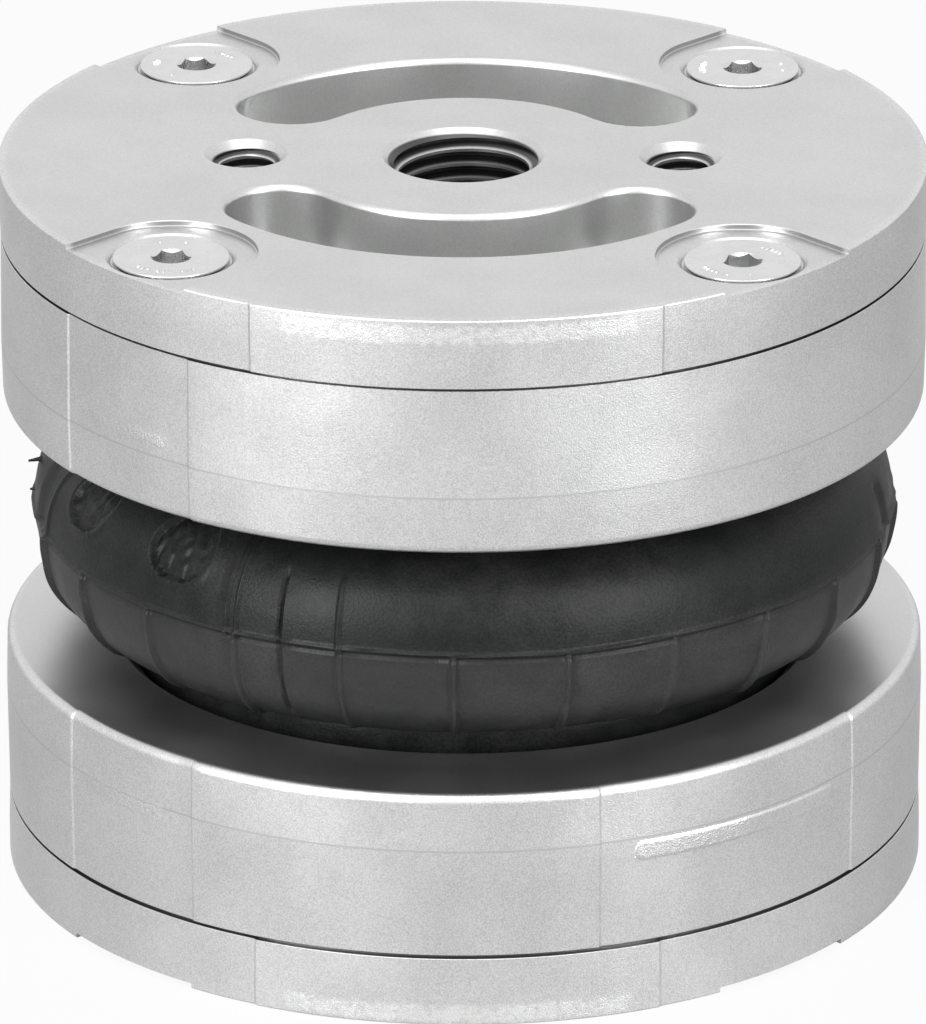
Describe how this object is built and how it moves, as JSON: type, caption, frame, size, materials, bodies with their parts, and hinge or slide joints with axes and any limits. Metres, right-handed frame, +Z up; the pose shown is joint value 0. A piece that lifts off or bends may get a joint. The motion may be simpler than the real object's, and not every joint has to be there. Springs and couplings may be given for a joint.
{
  "type": "air bellows actuator",
  "caption": "Round air bellows actuator: a black rubber bellows clamped between two cast end plates, with a central air port and tapped mounting holes.",
  "frame": {"origin": "centre of the underside, on the bellows' axis", "axes": "+Z up along the stroke, towards the end with the air port; +X through the mounting holes; front at -Y"},
  "size_m": [0.08, 0.0801, 0.064],
  "materials": {
    "cast_cover": "satin, bead blasted",
    "cast_ring": "satin, bead blasted",
    "zinc_screw": "zinc plated",
    "bead_wire": "plain",
    "cover_rubber": "moulded, semi matt",
    "ply_fabric": "woven cord",
    "liner_rubber": "smooth"
  },
  "bodies": {
    "base": {"bottom_cover_plate": "cast_cover", "bottom_clamp_ring": "cast_ring", "bottom_screw_1": "zinc_screw", "bottom_screw_2": "zinc_screw", "bottom_screw_3": "zinc_screw", "bottom_screw_4": "zinc_screw", "bottom_bead_core": "bead_wire", "bellows_outer_cover": "cover_rubber", "bellows_fabric_ply": "ply_fabric", "bellows_inner_liner": "liner_rubber"},
    "top": {"top_cover_plate": "cast_cover", "top_clamp_ring": "cast_ring", "top_screw_1": "zinc_screw", "top_screw_2": "zinc_screw", "top_screw_3": "zinc_screw", "top_screw_4": "zinc_screw", "top_bead_core": "bead_wire"}
  },
  "joints": [
    {"name": "stroke", "type": "slide", "parent": "base", "child": "top", "axis": [0, 0, 1], "range_m": [-0.013, 0.007], "stiffness_N_per_m": 5000, "springref_m": 0.0004, "deforming": ["bellows_outer_cover", "bellows_fabric_ply", "bellows_inner_liner"]}
  ]
}
